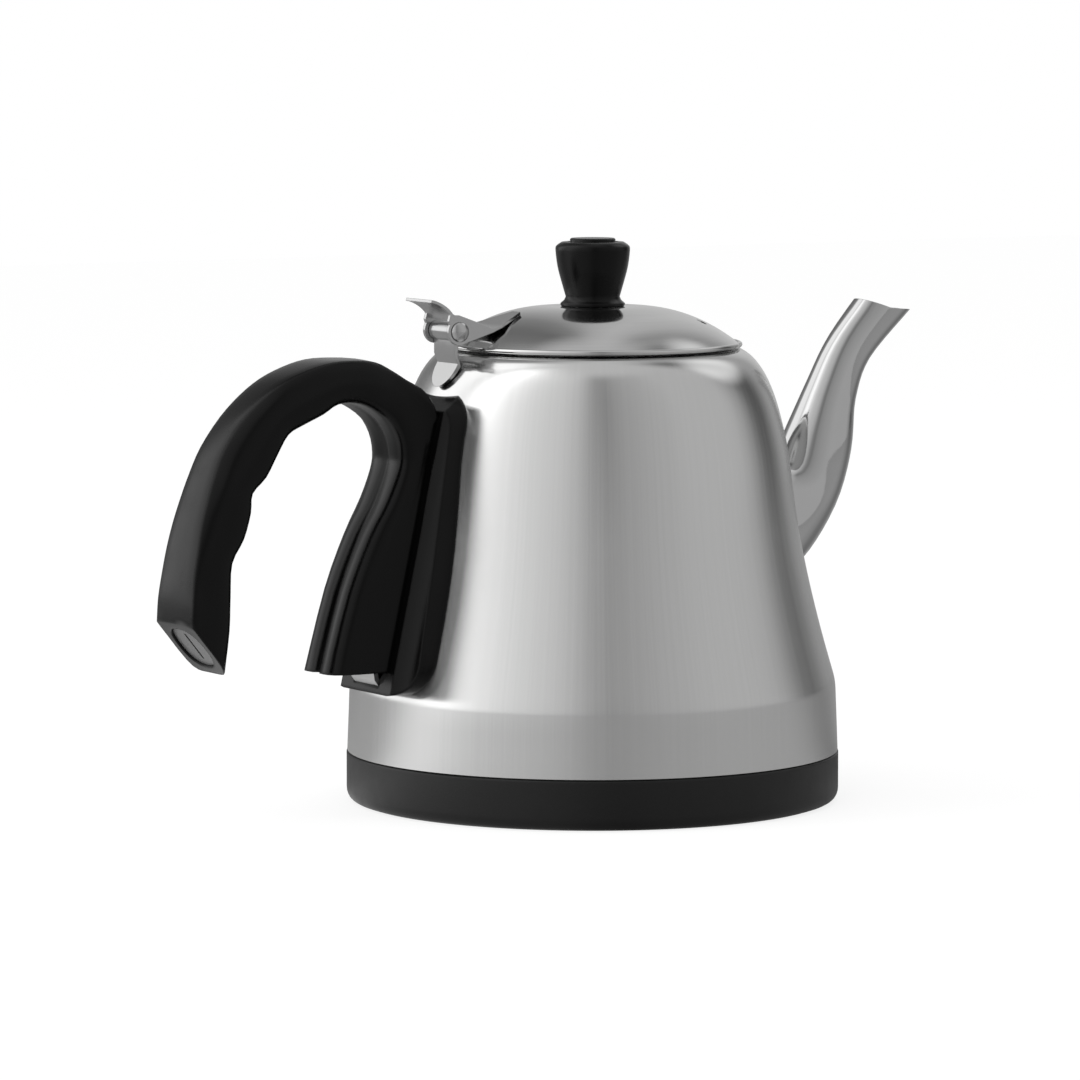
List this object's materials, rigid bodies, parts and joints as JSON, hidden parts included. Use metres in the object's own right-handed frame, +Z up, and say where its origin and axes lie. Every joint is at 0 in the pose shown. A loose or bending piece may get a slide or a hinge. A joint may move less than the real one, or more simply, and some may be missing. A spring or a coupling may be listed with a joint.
{
  "type": "gooseneck kettle",
  "caption": "Cordless electric kettle with a flared steel body, short curved spout, arched side handle with finger waves, and a domed lid that lifts on a rear hinge.",
  "frame": {"origin": "on the body's axis at the plane the kettle stands on, which is the mouth of the base coupler's bore", "axes": "+Z up along the body's axis, +X towards the spout, -X towards the handle, +Y across"},
  "size_m": [0.2582, 0.15, 0.1709],
  "materials": {
    "body_steel": "satin, fine brushing round the body",
    "lid_steel": "satin, fine brushing across the lid",
    "inner_steel": "plain mill finish",
    "polished_steel": "mirror polished",
    "screw_steel": "bright zinc",
    "skirt_plastic": "fine matt texture",
    "handle_plastic": "smooth satin black",
    "plug_plastic": "fine matt texture",
    "socket_plastic": "moulded, matt",
    "seal_rubber": "moulded silicone",
    "plate_aluminium": "turned",
    "element_sheath": "drawn tube, dull",
    "contact_brass": "plain",
    "cutout_case": "moulded, matt",
    "fuse_sleeve": "woven sleeve, varnished",
    "live_insulation": "smooth",
    "neutral_insulation": "smooth",
    "earth_insulation": "smooth"
  },
  "bodies": {
    "kettle": {"body_shell": "body_steel", "vessel_floor": "inner_steel", "spout": "polished_steel", "base_skirt": "skirt_plastic", "base_gasket": "seal_rubber", "base_cover": "socket_plastic", "floor_studs": "inner_steel", "base_screws": "screw_steel", "heat_plate": "plate_aluminium", "heating_element": "element_sheath", "element_terminals": "contact_brass", "connector_socket": "socket_plastic", "contact_rings": "contact_brass", "socket_screws": "screw_steel", "cutout_discs": "cutout_case", "thermal_fuse": "fuse_sleeve", "temperature_sensor": "element_sheath", "live_lead": "live_insulation", "neutral_lead": "neutral_insulation", "earth_lead": "earth_insulation", "handle_seat": "handle_plastic", "handle_grip": "handle_plastic", "grip_end_plug": "plug_plastic", "handle_bracket": "inner_steel", "handle_screw": "screw_steel", "hinge_strap": "polished_steel", "hinge_pin": "polished_steel"},
    "lid": {"lid_shell": "lid_steel", "lid_pan": "inner_steel", "lid_knob": "handle_plastic", "knob_washer": "screw_steel", "knob_screw": "screw_steel", "hinge_leaf": "polished_steel"}
  },
  "joints": [
    {"name": "lid_hinge", "type": "hinge", "parent": "kettle", "child": "lid", "pos_m": [-0.051, 0, 0.1444], "axis": [0, -1, 0], "range_deg": [0, 95]}
  ]
}
